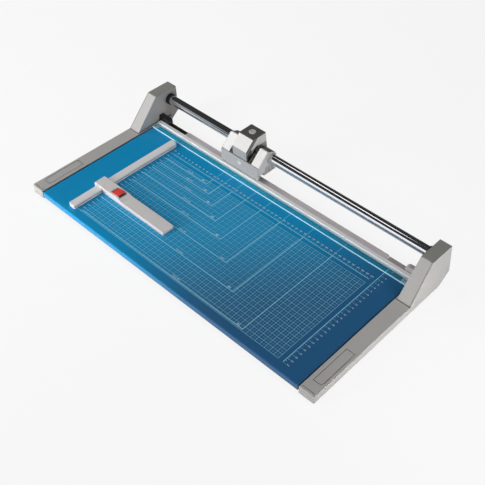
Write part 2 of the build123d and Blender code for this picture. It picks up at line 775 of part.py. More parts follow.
slot_front = blade_side_gap - hub_radius / 4
slot_back = bar_behind_cut - bushing_radius - slot_wall
with BuildPart() as carriage:
    with BuildSketch(head_plane(head_x - carriage_half)):
        with BuildLine():
            Polyline(
                (-carriage_front, carriage_bottom),
                facet_low,
                (carriage_back, bar_above_table - sleeve_radius / 2),
                (carriage_back, carriage_bottom),
                close=True,
            )
        make_face()
        fillet(vertices().group_by(Axis.X)[-1].sort_by(Axis.Y)[0], 4 * edge_radius)
    extrude(amount=2 * carriage_half)
    # seats for the sleeves
    for x in (head_x - sleeve_half, head_x + groove_half):
        with BuildSketch(head_plane(x)):
            add(sleeve_outline(0))
        extrude(amount=sleeve_half - groove_half, mode=Mode.SUBTRACT)
    # neck round the bar between the sleeves, with a flange in each groove
    with BuildSketch(head_plane(head_x - groove_half)):
        add(sleeve_outline(neck_inset))
    extrude(amount=2 * groove_half)
    flange_from = (grip_half + groove_half - flange_width) / 2
    for x in (head_x - flange_from - flange_width, head_x + flange_from):
        with BuildSketch(head_plane(x)):
            add(sleeve_outline(hidden_gap))
        extrude(amount=flange_width)
    # plates that close the ends, outside the sleeves
    for x in (head_x - carriage_half, head_x + sleeve_half):
        with BuildSketch(head_plane(x)):
            add(sleeve_outline(joint_gap))
        extrude(amount=end_plate)
    # bore for the bar
    with BuildSketch(head_plane(head_x - carriage_half)):
        with Locations(bar_at):
            Circle(bar_radius + joint_gap)
    extrude(amount=2 * carriage_half, mode=Mode.SUBTRACT)
    # pocket for the blade, open below
    with BuildSketch(head_plane(head_x - blade_radius - wall)):
        with BuildLine():
            pocket_top = axle_at + blade_radius + blade_clearance
            Polyline(
                (slot_front, carriage_bottom),
                (slot_front, pocket_top),
                (slot_back, pocket_top),
                (slot_back, carriage_bottom),
                close=True,
            )
        make_face()
    extrude(amount=2 * (blade_radius + wall), mode=Mode.SUBTRACT)
    # recess for the hub and bore for the axle
    with BuildSketch(Plane(origin=(head_x, cut_y + slot_front, table_z + axle_at), z_dir=(0, -1, 0))):
        Circle(hub_radius + blade_clearance)
    extrude(amount=hub_length + slot_front, mode=Mode.SUBTRACT)
    with BuildSketch(Plane(origin=(head_x, cut_y, table_z + axle_at), z_dir=(0, -1, 0))):
        Circle(axle_radius)
    extrude(amount=2 * carriage_front, mode=Mode.SUBTRACT)
    # docks at both ends take the buffers, flutes run down the end plates behind them
    dock_front = buffer_y - buffer_depth / 2 - dock_clearance - cut_y
    dock_back = buffer_y + buffer_depth / 2 + dock_clearance - cut_y
    dock_roof = buffer_height + dock_clearance
    flute_top = bar_above_table - bar_radius - wall
    flute_ys = [dock_back + flute_pitch * (step + 0.5) for step in range(flute_count)]
    for side in (-1, 1):
        with BuildSketch(head_plane(head_x + side * dock_wall)):
            with Locations(((dock_front + dock_back) / 2, dock_roof / 2)):
                Rectangle(dock_back - dock_front, dock_roof)
        extrude(amount=side * (carriage_half - dock_wall), mode=Mode.SUBTRACT)
        with BuildSketch(head_plane(head_x + side * (carriage_half - flute_depth))):
            with Locations([(v, (carriage_bottom + flute_top) / 2) for v in flute_ys]):
                Rectangle(flute_pitch / 2, flute_top - carriage_bottom)
        extrude(amount=side * flute_depth, mode=Mode.SUBTRACT)
write(carriage.part, "carriage")

grip_roof = grip_height - cap_plate / 2
grip_low = (facet_low[0] - grip_proud, grip_facet_offset - carriage_front - grip_proud)
grip_high = (grip_low[0] + grip_roof - grip_low[1], grip_roof)
with BuildPart() as grip:
    grip_points = [
        (-carriage_front, facet_low[1] + hidden_gap),
        grip_low,
        grip_high,
        (grip_high[0] + grip_top_depth, grip_roof),
        (grip_high[0] + grip_top_depth + grip_back_lean, bar_above_table),
        (grip_high[0] + grip_top_depth + grip_back_lean - wall, bar_above_table - wall),
    ]
    with BuildSketch(head_plane(head_x - grip_half)) as grip_section:
        with BuildLine():
            Polyline(*grip_points, close=True)
        make_face()
        rounded = grip_section.vertices().group_by(Axis.Z)[-1].sort_by(Axis.Y)[-1]
        fillet(rounded, 2 * edge_radius)
    extrude(amount=2 * grip_half)
    with BuildSketch(head_plane(head_x - grip_half + shell)):
        with BuildLine():
            Polyline(*grip_points, close=True)
        make_face()
        offset(amount=-shell)
    extrude(amount=2 * (grip_half - shell), mode=Mode.SUBTRACT)
    # arches that straddle the neck, and the open underside
    with BuildSketch(head_plane(head_x - grip_half)):
        add(sleeve_outline(neck_inset - grip_clearance))
    extrude(amount=2 * grip_half, mode=Mode.SUBTRACT)
    with BuildSketch(head_plane(head_x - grip_half)):
        with BuildLine():
            Polyline(
                (-carriage_front + shell, bar_above_table + facet_run / 4),
                (carriage_back + 1, bar_above_table + facet_run / 4),
                (carriage_back + 1, 0),
                (-carriage_front + shell, 0),
                close=True,
            )
        make_face()
    extrude(amount=2 * grip_half, mode=Mode.SUBTRACT)
    # boss that carries the grip on the neck
    screw_v = grip_high[0] + grip_top_depth / 2
    with BuildSketch(at_z(table_z + bar_above_table + sleeve_radius - neck_inset)):
        with Locations((head_x, cut_y + screw_v)):
            Circle(2 * axle_radius)
    extrude(amount=grip_roof - bar_above_table - sleeve_radius + neck_inset - shell)
    with BuildSketch(head_plane(head_x - grip_half)):
        add(sleeve_outline(neck_inset))
    extrude(amount=2 * grip_half, mode=Mode.SUBTRACT)
    # hole for the screw
    with Locations((head_x, cut_y + screw_v, table_z + grip_roof)):
        Cylinder(screw_port_radius, 4 * shell, mode=Mode.SUBTRACT)
write(grip.part, "grip")

with BuildPart() as grip_cap_plate:
    with BuildSketch(at_z(table_z + grip_height - cap_plate / 2)):
        with Locations((head_x, cut_y + screw_v)):
            Rectangle(2 * grip_half, grip_top_depth)
    extrude(amount=cap_plate)
    chamfer(grip_cap_plate.edges().group_by(Axis.Z)[-1], cap_plate / 4)
    with Locations((head_x, cut_y + screw_v, table_z + grip_height)):
        Cylinder(screw_port_radius, 2 * cap_plate, mode=Mode.SUBTRACT)
write(grip_cap_plate.part, "grip_cap_plate")

screw_seat = table_z + grip_height + cap_plate / 2
with BuildPart() as grip_screw:
    with Locations((head_x, cut_y + screw_v, screw_seat)):
        Cylinder(screw_head_radius, cap_plate / 2, align=(Align.CENTER, Align.CENTER, Align.MIN))
        Cylinder(screw_port_radius, 2 * shell, align=(Align.CENTER, Align.CENTER, Align.MAX))
    chamfer(grip_screw.edges().group_by(Axis.Z)[-1], cap_plate / 5)
    with Locations((head_x, cut_y + screw_v, screw_seat + cap_plate / 2)):
        Box(2 * screw_head_radius, slot_width, cap_plate / 2, mode=Mode.SUBTRACT)
write(grip_screw.part, "grip_screw")

guard_top = facet_low[1] - joint_gap
guard_bottom = carriage_bottom - guard_drop
with BuildPart() as blade_guard:
    with BuildSketch(at_y(cut_y - carriage_front)):
        with BuildLine():
            Polyline(
                (head_x - carriage_half, table_z + guard_bottom),
                (head_x + carriage_half, table_z + guard_bottom),
                (head_x + carriage_half, table_z + guard_top),
                (head_x - carriage_half, table_z + guard_top),
                close=True,
            )
        make_face()
        fillet(vertices(), edge_radius)
        with Locations((head_x, table_z + axle_at)):
            Circle(axle_radius, mode=Mode.SUBTRACT)
    extrude(amount=guard_thickness)
write(blade_guard.part, "blade_guard")

axle_start = cut_y - carriage_front - guard_thickness
axle_end = cut_y + slot_back - hidden_gap
with BuildPart() as blade_axle:
    with BuildSketch(Plane(origin=(head_x, axle_end, table_z + axle_at), z_dir=(0, -1, 0))):
        Circle(axle_radius)
    extrude(amount=axle_end - axle_start)
    with BuildSketch(Plane(origin=(head_x, axle_start, table_z + axle_at), z_dir=(0, -1, 0))):
        Circle(axle_radius + axle_head)
    extrude(amount=axle_head)
    chamfer(blade_axle.edges().group_by(Axis.Y)[0], 0.4)
write(blade_axle.part, "blade_axle")

shoe_bottom = strip_top + rail_thickness + hidden_gap
shoe_height = table_z + carriage_bottom - shoe_bottom
shoe_x = blade_radius - shoe_length / 2
with BuildPart() as glide_shoes:
    for side in (-1, 1):
        with BuildSketch(at_z(shoe_bottom)):
            with Locations((head_x + side * shoe_x, cut_y - carriage_front + wall)):
                Rectangle(shoe_length, 2 * wall)
        extrude(amount=shoe_height)
    chamfer(glide_shoes.edges().group_by(Axis.Z)[0], 2 * joint_gap)
write(glide_shoes.part, "glide_shoes")

blade_front = cut_y + blade_side_gap
blade_plane = Plane(origin=(head_x, blade_front, table_z + axle_at), z_dir=(0, 1, 0))
with BuildPart() as circular_blade:
    with BuildSketch(blade_plane):
        Circle(blade_radius)
        Circle(spigot_radius, mode=Mode.SUBTRACT)
    extrude(amount=blade_thickness)
    rim = circular_blade.edges().group_by(Axis.Y)[-1].sort_by(SortBy.LENGTH)[-1]
    chamfer(rim, blade_thickness - 0.1, blade_bevel)
write(circular_blade.part, "circular_blade")

with BuildPart() as blade_hub:
    with BuildSketch(blade_plane):
        Circle(hub_radius)
    extrude(amount=-hub_length)
    with BuildSketch(blade_plane):
        Circle(spigot_radius)
    extrude(amount=blade_thickness)
    with BuildSketch(blade_plane.offset(-hub_length)):
        Circle(axle_radius + bar_clearance)
    extrude(amount=2 * hub_length, mode=Mode.SUBTRACT)
write(blade_hub.part, "blade_hub")

clip_plane = blade_plane.offset(blade_thickness + 0.1)
clip_thickness = axle_end - blade_front - blade_thickness - 0.2
with BuildPart() as axle_clip:
    with BuildSketch(clip_plane):
        Circle(axle_radius + rib)
        Circle(axle_radius, mode=Mode.SUBTRACT)
        with Locations((0, -axle_radius)):
            Rectangle(axle_radius, 2 * axle_radius, mode=Mode.SUBTRACT)
    extrude(amount=clip_thickness)
write(axle_clip.part, "axle_clip")

# ---------------------------------------------------------------- side stop and gauge
with BuildPart() as side_stop:
    with BuildSketch(at_y(front_y + stop_front)):
        with Locations((stop_mid_x, table_z + stop_height / 2)):
            Rectangle(stop_width, stop_height)
        chamfer(vertices().group_by(Axis.Y)[-1], 1)
        with Locations((stop_left, table_z + stop_height / 2), (stop_edge_x, table_z + stop_height / 2)):
            Rectangle(2 * groove_depth, groove_height, mode=Mode.SUBTRACT)
    extrude(amount=-stop_length)
    with BuildSketch(at_z(table_z)):
        with Locations((stop_mid_x, front_y + stop_front + stop_length / 2)):
            RectangleRounded(stop_width, stop_length, stop_width / 6)
    extrude(amount=stop_height, mode=Mode.INTERSECT)
    with Locations([(stop_mid_x, y, table_z) for y in stop_screw_ys]):
        Cylinder(screw_radius, stop_height, mode=Mode.SUBTRACT)
write(side_stop.part, "side_stop")

with BuildPart() as stop_screws:
    with Locations([(stop_mid_x, y, table_z - sheet) for y in stop_screw_ys]):
        Cylinder(screw_radius, sheet + stop_height / 2, align=(Align.CENTER, Align.CENTER, Align.MIN))
        Cylinder(screw_head, screw_radius, align=(Align.CENTER, Align.CENTER, Align.MAX))
write(stop_screws.part, "stop_screws")

gauge_bottom = table_z + gauge_float
gauge_head_top = table_z + gauge_head_height
gauge_arm_top = table_z + gauge_arm_height
gauge_tip_top = gauge_arm_top - gauge_tip_drop
pocket_left = lever_x - lever_cam - joint_gap
pocket_right = lever_x + lever_length + joint_gap
pocket_half = lever_width / 2 + joint_gap
block_end = pocket_right + gauge_wall
taper_x = gauge_right - gauge_width
stop_clearance = gauge_float
lip_reach = stop_clearance + groove_depth / 2
shoe_y_half = 4.0
brake_height = 4.0

with BuildPart() as gauge_arm:
    with BuildSketch(at_y(gauge_y)) as arm_side:
        with BuildLine():
            Polyline(
                (gauge_left, gauge_bottom),
                (gauge_right, gauge_bottom),
                (gauge_right, gauge_tip_top),
                (taper_x, gauge_arm_top),
                (block_end + gauge_slope, gauge_arm_top),
                (block_end, gauge_head_top),
                (gauge_left, gauge_head_top),
                close=True,
            )
        make_face()
        fillet(arm_side.vertices().group_by(Axis.X)[0].sort_by(Axis.Z)[-1], 1.5)
    extrude(amount=-gauge_width)
    fillet(gauge_arm.edges().filter_by(Axis.X).group_by(Axis.Z)[-1], edge_radius)
    # long channel under the arm
    with BuildSketch(at_y(gauge_y + gauge_wall)):
        with BuildLine():
            Polyline(
                (block_end, table_z),
                (gauge_right - gauge_wall, table_z),
                (gauge_right - gauge_wall, gauge_tip_top - gauge_wall),
                (taper_x, gauge_arm_top - gauge_wall),
                (block_end, gauge_arm_top - gauge_wall),
                close=True,
            )
        make_face()
    extrude(amount=-(gauge_width - 2 * gauge_wall), mode=Mode.SUBTRACT)
    # passage for the side stop, with lips that run in its grooves
    with BuildSketch(at_y(gauge_y)):
        passage_width = stop_width + 2 * stop_clearance
        with Locations((stop_mid_x, table_z + stop_height / 2)):
            Rectangle(passage_width, stop_height + 2 * stop_clearance)
            with GridLocations(passage_width, 1, 2, 1):
                Rectangle(2 * lip_reach, groove_height - 2 * stop_clearance, mode=Mode.SUBTRACT)
    extrude(amount=-gauge_width, mode=Mode.SUBTRACT)
    # pocket for the lever, and a scoop for the finger
    with BuildSketch(at_z(table_z)):
        with Locations(((pocket_left + pocket_right) / 2, lever_y)):
            Rectangle(pocket_right - pocket_left, 2 * pocket_half)
    extrude(amount=2 * gauge_head_height, mode=Mode.SUBTRACT)
    scoop_radius = lever_length / 2
    with Locations((pocket_right, lever_y, gauge_arm_top + scoop_radius)):
        Cylinder(scoop_radius, 2 * pocket_half, rotation=(90, 0, 0), mode=Mode.SUBTRACT)
    with Locations((lever_x, lever_y, lever_z)):
        Cylinder(lever_pin_radius, gauge_width, rotation=(90, 0, 0), mode=Mode.SUBTRACT)
    # slot for the brake shoe
    with BuildSketch(at_z(table_z)):
        with Locations(((stop_edge_x + pocket_left) / 2, lever_y)):
            Rectangle(pocket_left - stop_edge_x + 1, 2 * shoe_y_half + joint_gap)
    extrude(amount=lever_pivot_height + brake_height / 2 + hidden_gap, mode=Mode.SUBTRACT)
    # thin foot along the front of the arm
    with Locations((block_end, gauge_y, gauge_bottom)):
        Box(gauge_right - block_end, 1, 1, align=(Align.MIN, Align.MAX, Align.MIN))
write(gauge_arm.part, "gauge_arm")

with BuildPart() as lever_pin:
    with Locations((lever_x, lever_y, lever_z)):
        Cylinder(lever_pin_radius, gauge_width - joint_gap, rotation=(90, 0, 0))
write(lever_pin.part, "lever_pin")

with BuildPart() as brake_shoe:
    with BuildSketch(at_z(lever_z - brake_height / 2)):
        shoe_from = stop_edge_x + hidden_gap
        shoe_to = lever_x - lever_cam - hidden_gap / 2
        with Locations(((shoe_from + shoe_to) / 2, lever_y)):
            RectangleRounded(shoe_to - shoe_from, 2 * shoe_y_half, 1)
    extrude(amount=brake_height)
write(brake_shoe.part, "brake_shoe")

with BuildPart() as gauge_lever:
    with BuildSketch(at_y(lever_y)):
        with BuildLine():
            lever_end = lever_x + lever_length
            Line((lever_end, table_z + lever_rise), (lever_end, gauge_head_top - hidden_gap))
            CenterArc((lever_x, lever_z), lever_cam, 0, 360)
        make_hull()
        with Locations((lever_x, lever_z)):
            Circle(lever_pin_radius + bar_clearance, mode=Mode.SUBTRACT)
    extrude(amount=lever_width / 2, both=True)
    fillet(gauge_lever.edges().filter_by(Axis.Y).group_by(Axis.X)[-1], edge_radius)
write(gauge_lever.part, "gauge_lever")
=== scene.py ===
import math

import bpy
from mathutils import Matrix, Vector


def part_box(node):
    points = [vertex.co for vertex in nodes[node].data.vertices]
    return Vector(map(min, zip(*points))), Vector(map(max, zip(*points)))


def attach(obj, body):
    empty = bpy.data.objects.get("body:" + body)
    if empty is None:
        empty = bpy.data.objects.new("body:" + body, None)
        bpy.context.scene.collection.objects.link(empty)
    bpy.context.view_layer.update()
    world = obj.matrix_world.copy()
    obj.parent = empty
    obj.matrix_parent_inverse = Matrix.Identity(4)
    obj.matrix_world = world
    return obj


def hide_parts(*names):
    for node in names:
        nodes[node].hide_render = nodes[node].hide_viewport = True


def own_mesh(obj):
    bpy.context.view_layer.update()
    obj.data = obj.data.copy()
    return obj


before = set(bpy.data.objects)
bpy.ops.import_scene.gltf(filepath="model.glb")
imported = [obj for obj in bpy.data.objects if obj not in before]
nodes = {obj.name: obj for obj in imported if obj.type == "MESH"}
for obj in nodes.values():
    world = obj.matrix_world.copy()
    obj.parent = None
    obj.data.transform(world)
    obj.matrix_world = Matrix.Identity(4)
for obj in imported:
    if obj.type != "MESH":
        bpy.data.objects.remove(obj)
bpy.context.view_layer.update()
bpy.ops.object.select_all(action="DESELECT")
print("frame loaded:", len(nodes), "nodes")


class Signal:
    # one socket; sums, products and comparisons on it add Math nodes
    def __init__(self, owner, socket):
        self.owner, self.socket = owner, socket

    def maths(self, operation, first, second=0.0):
        return self.owner.node("ShaderNodeMath", {"operation": operation}, {0: first, 1: second})

    def __add__(self, other):
        return self.maths("ADD", self, other)

    def __sub__(self, other):
        return self.maths("SUBTRACT", self, other)

    def __rsub__(self, other):
        return self.maths("SUBTRACT", other, self)

    def __mul__(self, other):
        return self.maths("MULTIPLY", self, other)

    def __mod__(self, other):
        return self.maths("FLOORED_MODULO", self, other)

    def __lt__(self, other):
        return self.maths("LESS_THAN", self, other)

    def __gt__(self, other):
        return self.maths("GREATER_THAN", self, other)

    def __abs__(self):
        return self.maths("ABSOLUTE", self)

    def atLeast(self, other):
        return self.maths("MAXIMUM", self, other)

    def atMost(self, other):
        return self.maths("MINIMUM", self, other)

    __radd__ = __add__
    __rmul__ = __mul__


class Nodes:
    # a node tree and the one method that adds to it
    def __init__(self, tree):
        self.tree = tree

    def node(self, kind, settings=None, inputs=None, output=0):
        made = self.tree.nodes.new(kind)
        for key, value in (settings or {}).items():
            setattr(made, key, value)
        for key, value in (inputs or {}).items():
            if isinstance(value, Signal):
                self.link(value, made.inputs[key])
            else:
                made.inputs[key].default_value = value
        return Signal(self, made.outputs[output])

    def link(self, signal, socket):
        self.tree.links.new(signal.socket, socket)

    def fade(self, value, span, ends, style="LINEAR"):
        # goes from one end to the other while the value crosses the span
        inputs = {0: value, 1: span[0], 2: span[1], 3: ends[0], 4: ends[1]}
        return self.node("ShaderNodeMapRange", {"interpolation_type": style}, inputs)


# how the finishes feel round a point, for the painted shade in seams and for soft edges
feel = {"seamSamples": 8, "seamGain": 1.7, "seamStart": 0.6, "edgeSamples": 6}


class Finish(Nodes):
    # a material with its shader, and the patterns that feed it
    def __init__(self, name, color, roughness, **constants):
        self.material = bpy.data.materials.new(name)
        self.material.use_nodes = True
        super().__init__(self.material.node_tree)
        self.shader = self.tree.nodes["Principled BSDF"]
        self.color, self.roughness = color, roughness
        constants["Roughness"] = roughness
        constants["Base Color"] = (*color, 1.0)
        for socket, value in constants.items():
            self.shader.inputs[socket].default_value = value

    def feed(self, socket, signal):
        self.link(signal, self.shader.inputs[socket])

    def place(self):
        # x, y and z of the point, in metres
        spot = self.node("ShaderNodeTexCoord", output="Object")
        return [self.node("ShaderNodeSeparateXYZ", None, {0: spot}, axis) for axis in range(3)]

    def noise(self, scale, detail=2.0, stretch=(1.0, 1.0, 1.0)):
        spot = self.node("ShaderNodeTexCoord", output="Object")
        spread = self.node("ShaderNodeMapping", None, {"Vector": spot, "Scale": stretch})
        inputs = {"Vector": spread, "Scale": scale, "Detail": detail}
        return self.node("ShaderNodeTexNoise", None, inputs, "Fac")

    def mix(self, factor, under, over):
        # inputs 6 and 7 are the two colours, and output 2 is what they give
        tones = [tone if isinstance(tone, Signal) else (*tone, 1.0) for tone in (under, over)]
        return self.node("ShaderNodeMix", {"data_type": "RGBA"}, {0: factor, 6: tones[0], 7: tones[1]}, 2)

    def openness(self, reach, alone=True):
        # 1 on open faces, down to 0 deep in seams and inner corners; it masks the painted shade there
        settings = {"samples": feel["seamSamples"], "only_local": alone}
        around = self.node("ShaderNodeAmbientOcclusion", settings, {"Distance": reach}, "AO")
        return (around * feel["seamGain"] - feel["seamStart"]).atLeast(0.0).atMost(1.0)

    def softEdges(self, radius):
        return self.node("ShaderNodeBevel", {"samples": feel["edgeSamples"]}, {"Radius": radius})

    def edgeMask(self, rounded, gain):
        # 1 on the edges, where hands and paper rub and where highlights are painted, 0 on the flats
        flat = self.node("ShaderNodeNewGeometry", output="Normal")
        settings = {"operation": "DOT_PRODUCT"}
        along = self.node("ShaderNodeVectorMath", settings, {0: flat, 1: rounded}, "Value")
        return ((1.0 - along) * gain).atMost(1.0)

    def bump(self, height, distance, strength=1.0, normal=None):
        inputs = {"Height": height, "Distance": distance, "Strength": strength}
        if normal:
            inputs["Normal"] = normal
        return self.node("ShaderNodeBump", None, inputs)

    def gloss(self, texture, swing):
        # roughness that swings round the finish's own value
        self.feed("Roughness", (texture - 0.5) * swing + self.roughness)


def shade(color, gain):
    return [min(1.0, part * gain) for part in color]


def within(value, low, high):
    return (value > low) * (value < high)


def wear(node, finish):
    # a CAD node takes this finish in place of its plain one
    mesh = nodes[node].data
    mesh.materials.clear()
    mesh.materials.append(finish.material)


def settle():
    # the active piece keeps its place in its mesh, and its origin goes to the world's
    bpy.ops.object.transform_apply(location=True, rotation=True, scale=True)


# moulded plastics; a band is an axis, where it starts and ends, and its colour; the dark bands are painted
# shade
paleEnd = (0.72, 0.70, 0.69)
# the housing's painted seam shade also counts the pieces next to it, so it darkens where other parts meet it
housing = {"color": (0.50, 0.485, 0.47), "roughness": 0.55, "grain": 900.0, "depth": 0.00008,
           "edge": 0.0012, "wear": 0.35, "alone": False, "grime": 0.85,
           # painted shade: the towers' tops are darker
           "bands": [(2, 0.0820, 0.1, (0.32, 0.32, 0.30))]}
sleeveShell = {"color": (0.92, 0.90, 0.88), "roughness": 0.5, "grain": 1100.0, "depth": 0.00006,
               # painted shade: the sleeves' round backs are darker
               "edge": 0.0009, "wear": 0.35, "bands": [(1, 0.1500, 0.2, (0.12, 0.11, 0.10))]}
gripShell = {"color": (0.84, 0.82, 0.80), "roughness": 0.5, "grain": 1100.0, "depth": 0.00006,
             # painted shade: the grip's lower front is darker
             "edge": 0.0009, "wear": 0.35, "bands": [(2, 0.0, 0.0768, (0.42, 0.41, 0.40))]}
darkPlate = {"color": (0.11, 0.11, 0.10), "roughness": 0.42, "grain": 1200.0, "depth": 0.00004,
             "edge": 0.0006, "wear": 0.5}
guardGrey = {"color": (0.47, 0.45, 0.44), "roughness": 0.5, "grain": 1100.0, "depth": 0.00005,
             "edge": 0.0006, "wear": 0.3}
# painted shade: the carriage is near-black to stand in for its shaded fluted neck, and paler at its ends
carriageGrey = {"color": (0.12, 0.115, 0.105), "roughness": 0.45, "grain": 1000.0, "depth": 0.00006,
                "edge": 0.0008, "wear": 0.9, "grime": 0.4,
                "bands": [(0, -0.0440, 0.0, paleEnd), (0, -0.2, -0.1360, paleEnd)]}
gaugeGrey = {"color": (0.80, 0.775, 0.765), "roughness": 0.45, "grain": 1200.0, "depth": 0.00005,
             "edge": 0.0007, "wear": 0.3}
stopGrey = {"color": (0.88, 0.86, 0.87), "roughness": 0.42, "grain": 1200.0, "depth": 0.00005,
            "edge": 0.0007, "wear": 0.2}
redLever = {"color": (0.88, 0.065, 0.055), "roughness": 0.36, "grain": 1200.0, "depth": 0.00003,
            "edge": 0.0008, "wear": 0.2}
blackPart = {"color": (0.012, 0.012, 0.013), "roughness": 0.42, "grain": 1000.0, "depth": 0.00006,
             "edge": 0.0008, "wear": 0.5}
knifeEnd = {"color": (0.50, 0.46, 0.46), "roughness": 0.5, "grain": 800.0, "depth": 0.00008,
            "edge": 0.0007, "wear": 0.4, "bands": [(0, 0.2, 0.2570, (0.85, 0.85, 0.85))]}
rubberFoot = {"color": (0.02, 0.02, 0.02), "roughness": 0.8, "grain": 700.0, "depth": 0.0001,
              "edge": 0.0006, "wear": 0.3}

# what all of them share: clouding, edges lightened as wear and as painted highlight, painted shade in the
# seams and the swing of the gloss
mould = {"cloud": {"scale": 9.0, "detail": 3.0}, "cloudDark": 0.93, "cloudLight": 1.06, "rub": 6.0,
         "edgeWearAndHighlight": 1.35, "seam": 0.004, "seamShadeGain": 0.22, "grime": 0.6, "gloss": 0.16}


def mouldedPlastic(name, settings):
    # fine spark grain, soft edges, slight cloudiness, edges lightened as wear and as painted highlight, and
    # painted shade in the seams
    finish = Finish(name, settings["color"], settings["roughness"])
    rounded = finish.softEdges(settings["edge"])
    cloud = finish.noise(**mould["cloud"])
    grain = finish.noise(settings["grain"])
    dark, light = shade(finish.color, mould["cloudDark"]), shade(finish.color, mould["cloudLight"])
    tone = finish.mix(cloud, dark, light)
    # edges lightened, partly as wear and partly as painted highlight
    edgeWearAndHighlight = finish.edgeMask(rounded, mould["rub"]) * settings["wear"]
    tone = finish.mix(edgeWearAndHighlight, tone, shade(finish.color, mould["edgeWearAndHighlight"]))
    place = finish.place()
    for axis, low, high, color in settings.get("bands", []):
        tone = finish.mix(within(place[axis], low, high), tone, color)
    # painted shade: darker in seams and inner corners
    paintedSeamShade = 1.0 - finish.openness(mould["seam"], settings.get("alone", True))
    paintedSeamShade = paintedSeamShade * settings.get("grime", mould["grime"])
    finish.tone = finish.mix(paintedSeamShade, tone, shade(finish.color, mould["seamShadeGain"]))
    finish.feed("Base Color", finish.tone)
    finish.gloss(grain, mould["gloss"])
    finish.feed("Normal", finish.bump(grain, settings["depth"], 1.0, rounded))
    return finish


finishes = {
    "housingPlastic": (housing, ["left_end_cap", "right_end_cap", "left_tower", "right_tower",
                                 "left_inset_panel", "right_inset_panel"]),
    "sleevePlastic": (sleeveShell, ["left_sleeve", "right_sleeve"]),
    "gripPlastic": (gripShell, ["grip"]),
    "darkPlate": (darkPlate, ["grip_cap_plate"]),
    "guardPlastic": (guardGrey, ["blade_guard"]),
    "carriagePlastic": (carriageGrey, ["carriage"]),
    "gaugePlastic": (gaugeGrey, ["gauge_arm"]),
    "stopPlastic": (stopGrey, ["side_stop"]),
    "redPlastic": (redLever, ["gauge_lever"]),
    "blackPlastic": (blackPart, ["left_buffer", "left_bar_collar", "right_bar_collar",
                                 "left_knife_end_piece", "glide_shoes", "brake_shoe"]),
    "knifeEndPlastic": (knifeEnd, ["right_knife_end_piece", "right_buffer"]),
    "footRubber": (rubberFoot, ["left_front_foot", "right_front_foot", "left_rear_foot", "right_rear_foot"]),
}
plastics = {}
for name, (settings, wearers) in finishes.items():
    plastics[name] = mouldedPlastic(name, settings)
    for node in wearers:
        wear(node, plastics[name])

# the grip's right flank: painted shade darkens the recessed band behind the facet, and one rib along it is
# painted pale as a highlight
flank = {"side": -0.0728, "front": 0.134, "facet": -0.0425, "deep": 0.0115, "fold": 0.0768,
         "rib": 0.0062, "ribWidth": 0.0016, "dark": (0.10, 0.095, 0.085), "pale": (0.50, 0.48, 0.46)}
gripFinish = plastics["gripPlastic"]
x, y, z = gripFinish.place()
behind = y - z + flank["facet"]
shadedRecess = (behind < flank["deep"]).atLeast((z < flank["fold"]) * (y < flank["front"]))
rib = abs(behind - flank["rib"]) < flank["ribWidth"] / 2
recessShadeAndRibHighlight = gripFinish.mix(rib, flank["dark"], flank["pale"])
gripFinish.feed("Base Color", gripFinish.mix((x > flank["side"]) * shadedRecess, gripFinish.tone, recessShadeAndRibHighlight))
print("plastics done")

# chromed guide bar
bar = {"color": (0.74, 0.74, 0.76), "roughness": 0.075, "gloss": 0.07,
       "scuffs": {"scale": 60.0, "detail": 4.0, "stretch": (0.08, 1.0, 1.0)},
       "lines": {"scale": 240.0, "stretch": (0.02, 1.0, 1.0)}, "depth": 0.00001, "strength": 0.4}
chrome = Finish("chromeBar", bar["color"], bar["roughness"], Metallic=1.0)
chrome.gloss(chrome.noise(**bar["scuffs"]), bar["gloss"])
chrome.feed("Normal", chrome.bump(chrome.noise(**bar["lines"]), bar["depth"], bar["strength"]))
wear("guide_bar", chrome)

# the other metals; brush draws their strokes out along an axis
metals = {
    "groundSteel": {"color": (0.88, 0.81, 0.83), "roughness": 0.45, "metallic": 0.1,
                    "brush": (0.03, 1.0, 1.0), "on": ["counter_knife"]},
    "bladeSteel": {"color": (0.62, 0.62, 0.63), "roughness": 0.25, "on": ["circular_blade"]},
    "zincScrew": {"color": (0.86, 0.85, 0.84), "roughness": 0.4, "metallic": 0.35,
                  "on": ["knife_screws", "bar_set_screws", "frame_screws", "cap_screws", "stop_screws",
                         "lever_pin", "blade_axle", "axle_clip", "blade_hub", "grip_screw",
                         "left_clamp_spring", "right_clamp_spring"]},
    "zincSheet": {"color": (0.55, 0.56, 0.57), "roughness": 0.45, "brush": (1.0, 0.2, 1.0),
                  "on": ["table_stiffeners", "rear_beam"]},
    "castBracket": {"color": (0.5, 0.5, 0.5), "roughness": 0.55,
                    "on": ["left_bar_bracket", "right_bar_bracket"]},
    "bushingBronze": {"color": (0.5, 0.33, 0.16), "roughness": 0.5, "on": ["left_bushing", "right_bushing"]},
    "brightRail": {"color": (0.97, 0.95, 0.965), "roughness": 0.35, "metallic": 0.0,
                   "brush": (0.02, 1.0, 1.0), "on": ["clamp_rail"]},
}
# what they share: strokes, painted shade in the seams, the swing of the gloss and soft edges
metalwork = {"strokes": 420.0, "detail": 3.0, "dark": 0.85, "light": 1.1, "seam": 0.0016, "seamShadeGain": 0.12,
             "gloss": 0.25, "depth": 0.00002, "strength": 0.5, "edge": 0.0004}
steels = {}
for name, settings in metals.items():
    metal = Finish(name, settings["color"], settings["roughness"], Metallic=settings.get("metallic", 1.0))
    strokes = metal.noise(metalwork["strokes"], metalwork["detail"], settings.get("brush", (1.0, 1.0, 1.0)))
    dark, light = shade(metal.color, metalwork["dark"]), shade(metal.color, metalwork["light"])
    brushed = metal.mix(strokes, dark, light)
    # painted shade: darker in seams and inner corners
    seamShadeTone = shade(metal.color, metalwork["seamShadeGain"])
    metal.feed("Base Color", metal.mix(metal.openness(metalwork["seam"]), seamShadeTone, brushed))
    metal.gloss(strokes, metalwork["gloss"])
    rounded = metal.softEdges(metalwork["edge"])
    metal.feed("Normal", metal.bump(strokes, metalwork["depth"], metalwork["strength"], rounded))
    for node in settings["on"]:
        wear(node, metal)
    steels[name] = metal
